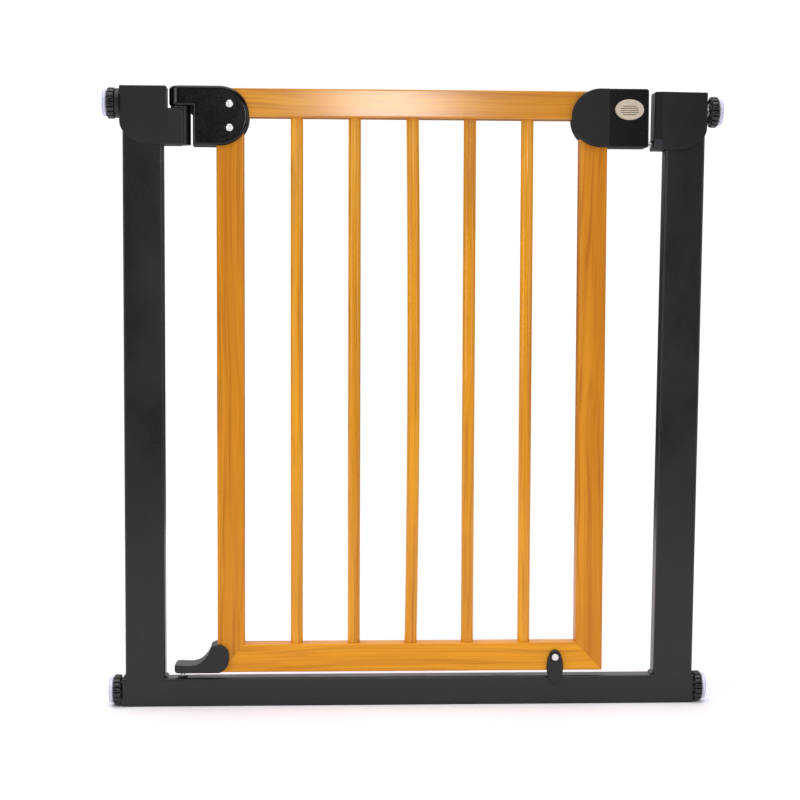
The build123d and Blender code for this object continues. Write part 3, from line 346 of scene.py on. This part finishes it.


# painted shade: the floors of the release button's grooves are coloured dark as if shadowed
paint_groove_shade(BUTTON, (0.2632, 0.7296), (0.0114, 0.0058), -0.01795, -0.01765, (0.10, 0.085, 0.072))
ZINC = metal("bright_zinc", (0.86, 0.85, 0.83), 0.30)
THREAD = metal("thread_zinc", (0.80, 0.80, 0.80), 0.26)
NYLON = plastic("nylon", (0.010, 0.010, 0.010), 0.38)
CLEAR = milky("clear_pad", (0.84, 0.86, 0.97), (0.93, 0.94, 1.0))
# painted refraction: the pad's rim is coloured violet-blue for the dark surroundings seen through the clear
# plastic at its edge
PAD_RIM_PAINTED_REFRACTION = milky("clear_pad_rim_painted_refraction", (0.36, 0.37, 0.80), (0.50, 0.52, 0.92), rough=0.12, trans=0.15)

for node, mat in {
    "bottom_rail": STEEL, "left_upright": STEEL, "right_upright": STEEL, "weld_beads": STEEL,
    "rail_end_inserts": MATTE, "upright_weld_nuts": ZINC, "hinge_bracket": MATTE,
    "hinge_pin": ZINC, "striker_bracket": STRIKER, "latch_keeper": KEEPER,
    "bracket_screws": ZINC, "lower_pivot_bush": NYLON, "hinge_cover_front": GLOSS,
    "hinge_cover_rear": GLOSS, "hinge_cam": MATTE, "hinge_cover_screws": ZINC,
    "hinge_cover_nuts": ZINC, "lower_hinge_arm": MATTE, "lower_pivot_pin": ZINC,
    "lower_arm_screws": ZINC, "latch_housing_front": LATCH, "latch_housing_rear": MATTE,
    "latch_housing_screws": ZINC, "latch_bolt": ZINC, "release_button": BUTTON,
    "bolt_spring": ZINC, "button_spring": ZINC, "stop_tab": MATTE, "stop_tab_screw": ZINC,
    "spindle_lock_collar": MATTE,
}.items():
    NODES[node].data.materials.clear()
    NODES[node].data.materials.append(mat)
for k, (node, along, tone, gold, coat, coat_rough) in enumerate((
        ("left_stile", "Z", 0.85, 1.0, 0.16, 0.16), ("right_stile", "Z", 0.83, 0.98, 0.16, 0.16),
        ("top_rail", "X", 0.93, 1.07, 1.0, 0.17), ("panel_bottom_rail", "X", 1.0, 1.08, 0.2, 0.16),
        ("bar_1", "Z", 1.00, 1.12, 0.5, 0.10), ("bar_2", "Z", 0.98, 1.12, 0.5, 0.10),
        ("bar_3", "Z", 1.02, 1.12, 0.5, 0.10), ("bar_4", "Z", 0.98, 1.12, 0.5, 0.10),
        ("bar_5", "Z", 1.00, 1.12, 0.5, 0.10))):
    NODES[node].data.materials.clear()
    NODES[node].data.materials.append(
        wood("wood_" + node, along, 0.31 + 0.77 * k, tone, gold, coat, coat_rough))


# --------------------------------------------------- wheels, spindles, pads
def turned(name, origin, axis, profile, steps, lobe=None, split=None, mats=()):
    """A turned solid about axis; profile rows are (along, radius, lobe share), in mm.
    A profile that starts and ends on radius 0 closes on the axis, else it is a ring."""
    bm = bmesh.new()
    axis = Vector(axis).normalized()
    side = Vector((0, 1, 0))
    up = axis.cross(side)
    origin = Vector(origin)
    rings = []
    for t, r, w in profile:
        if r <= 0:
            rings.append([bm.verts.new(origin + axis * (t / 1000))] * steps)
            continue
        row = []
        for k in range(steps):
            a = 2 * math.pi * k / steps
            q = r - (w * lobe(a) if lobe else 0.0)
            row.append(bm.verts.new(origin + axis * (t / 1000)
                                    + (side * math.cos(a) + up * math.sin(a)) * (q / 1000)))
        rings.append(row)
    closed = profile[0][1] > 0
    n = len(profile)
    for i in range(n if closed else n - 1):
        a, b = rings[i], rings[(i + 1) % n]
        mid = (profile[i][0] + profile[(i + 1) % n][0]) / 2
        for k in range(steps):
            k2 = (k + 1) % steps
            quad = []
            for v in (a[k], a[k2], b[k2], b[k]):
                if v not in quad:
                    quad.append(v)
            if len(quad) > 2:
                f = bm.faces.new(quad)
                f.smooth = True
                if split is not None and mid > split:
                    f.material_index = 1
    bmesh.ops.recalc_face_normals(bm, faces=bm.faces[:])
    me = bpy.data.meshes.new(name)
    bm.to_mesh(me)
    bm.free()
    for m in mats:
        me.materials.append(m)
    o = bpy.data.objects.new(name, me)
    SCENE.collection.objects.link(o)
    edge = o.modifiers.new("edges", "EDGE_SPLIT")
    edge.split_angle = math.radians(38)
    return o


def grip(a):
    """Depth in mm of the 18 narrow grooves round the wheel's rim."""
    s = (a * 18 / (2 * math.pi)) % 1.0
    d = abs(s - 0.5) * 2                       # 1 at a groove, 0 on the lobe
    return 1.9 * max(0.0, (d - 0.62) / 0.38) ** 1.3 + 0.25 * d * d


def threaded(name, origin, axis, length, tip, mats):
    """M10 spindle: a helical thread, plain pin at the pad end."""
    bm = bmesh.new()
    axis = Vector(axis).normalized()
    side = Vector((0, 1, 0))
    up = axis.cross(side)
    origin = Vector(origin)
    pitch, steps, per = 1.5, 28, 6
    rows = int(length / pitch * per)
    rings = []
    for i in range(rows + 1):
        t = -length + length * i / rows
        row = []
        for k in range(steps):
            a = 2 * math.pi * k / steps
            s = (t / pitch - k / steps) % 1.0
            tooth = 1.0 - abs(2 * s - 1)
            ends = min(1.0, (t + length) / 1.2, -t / 0.4 if t < 0 else 0.0)
            r = 4.18 + 0.78 * min(1.0, max(0.0, tooth * 1.35 - 0.12)) * max(0.0, ends)
            row.append(bm.verts.new(origin + axis * (t / 1000)
                                    + (side * math.cos(a) + up * math.sin(a)) * (r / 1000)))
        rings.append(row)
    for t, r in ((0.0, 4.0), (tip - 0.3, 4.0), (tip, 3.7)):
        rings.append([bm.verts.new(origin + axis * (t / 1000)
                                   + (side * math.cos(2 * math.pi * k / steps)
                                      + up * math.sin(2 * math.pi * k / steps)) * (r / 1000))
                      for k in range(steps)])
    for a, b in zip(rings, rings[1:]):
        for k in range(steps):
            k2 = (k + 1) % steps
            bm.faces.new((a[k], a[k2], b[k2], b[k])).smooth = True
    bm.faces.new(rings[0])
    bm.faces.new(rings[-1])
    bmesh.ops.recalc_face_normals(bm, faces=bm.faces[:])
    me = bpy.data.meshes.new(name)
    bm.to_mesh(me)
    bm.free()
    for m in mats:
        me.materials.append(m)
    o = bpy.data.objects.new(name, me)
    SCENE.collection.objects.link(o)
    return o


JOINTS = {j["name"]: j for j in frame["record"]["behaviour"]["joints"]}
WHEEL_RING = (
    (-10.4, 5.06, 0), (-10.4, 9.7, 0), (-10.1, 10.2, 0), (-9.5, 10.5, 0), (-6.7, 10.7, 0),
    (-6.5, 11.0, 0), (-6.5, 14.2, 0), (-6.7, 14.5, 0), (-9.2, 14.8, 0), (-9.5, 15.3, 0),
    (-9.5, 16.4, 0), (-9.35, 17.2, 0.35), (-8.9, 18.0, 0.75), (-8.2, 18.55, 1), (-7.3, 18.8, 1),
    (-2.4, 18.8, 1), (-1.5, 18.6, 1), (-0.7, 18.1, 0.8), (-0.2, 17.4, 0.4), (0, 16.6, 0.0),
    (0, 14.4, 0), (-0.4, 13.9, 0), (-0.5, 13.0, 0), (-0.5, 5.06, 0))
PAD_DISC = (
    (3.3, 0, 0), (3.3, 4.05, 0), (0.25, 4.1, 0), (0.25, 13.9, 0), (0.4, 14.6, 0), (0.9, 15.4, 0),
    (1.6, 15.85, 0), (2.4, 16.0, 0), (3.7, 16.0, 0), (3.9, 15.98, 0), (4.5, 15.75, 0), (4.95, 15.25, 0),
    (5.2, 14.4, 0), (5.2, 11.0, 0), (5.0, 10.6, 0), (5.0, 6.0, 0), (5.2, 5.6, 0), (5.2, 0, 0))
for tag in ("top_left", "top_right", "bottom_left", "bottom_right"):
    j = JOINTS["wheel_turn_" + tag]
    ax = Vector(j["axis"]).normalized()
    face = Vector(j["pos_m"])
    base = face - ax * 0.0052                  # outer face of the wheel
    w = turned("wheel_ribbed_" + tag, base, ax, WHEEL_RING, 18 * 14, lobe=grip, mats=(WHEEL,))
    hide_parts("wheel_" + tag)
    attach(w, "screw_" + tag)
    # faces past 3.8 mm take the rim material, whose violet-blue is painted refraction
    pad = turned("pad_disc_" + tag, base, ax, PAD_DISC, 72, split=3.8, mats=(CLEAR, PAD_RIM_PAINTED_REFRACTION))
    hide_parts("wall_pad_" + tag)
    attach(pad, "pad_" + tag)
    lo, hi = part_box("spindle_" + tag)
    reach = max(abs((Vector((x, base.y, base.z)) - base).dot(ax)) for x in (lo[0], hi[0])) * 1000
    rod = threaded("thread_" + tag, base, ax, reach, 3.0, (THREAD,))
    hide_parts("spindle_" + tag)
    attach(rod, "screw_" + tag)


# ------------------------------------------------------------------- floor
def make_floor():
    bm = bmesh.new()
    bmesh.ops.create_grid(bm, x_segments=8, y_segments=8, size=20.0)
    for v in bm.verts:                       # the paper stops behind the object
        v.co.y = -8.0 + (v.co.y + 20.0) / 40.0 * 9.6
    me = bpy.data.meshes.new("floor")
    bm.to_mesh(me)
    bm.free()
    o = bpy.data.objects.new("floor", me)
    o.location = (0, 0, -0.0002)
    SCENE.collection.objects.link(o)
    m = Mat("floor_paper")
    soft = m.noise(m.mapped((3, 3, 3)), detail=3)
    paper = m.mix(m.span(soft, 0.3, 0.7), (0.925, 0.895, 0.935), (0.94, 0.91, 0.95))
    # the paper ends well in front of the object; the studio floor beyond is grey
    beyond = m.node("ShaderNodeMapRange", {"interpolation_type": "SMOOTHSTEP"}, Value=m.axis("Y"),
                    From_Min=-1.15, From_Max=-2.1).outputs[0]
    m.to(m.mix(beyond, paper, (0.16, 0.155, 0.16)), "Base Color")
    m.set(Roughness=0.95, Specular_IOR_Level=0.0)
    me.materials.append(m.m)


make_floor()
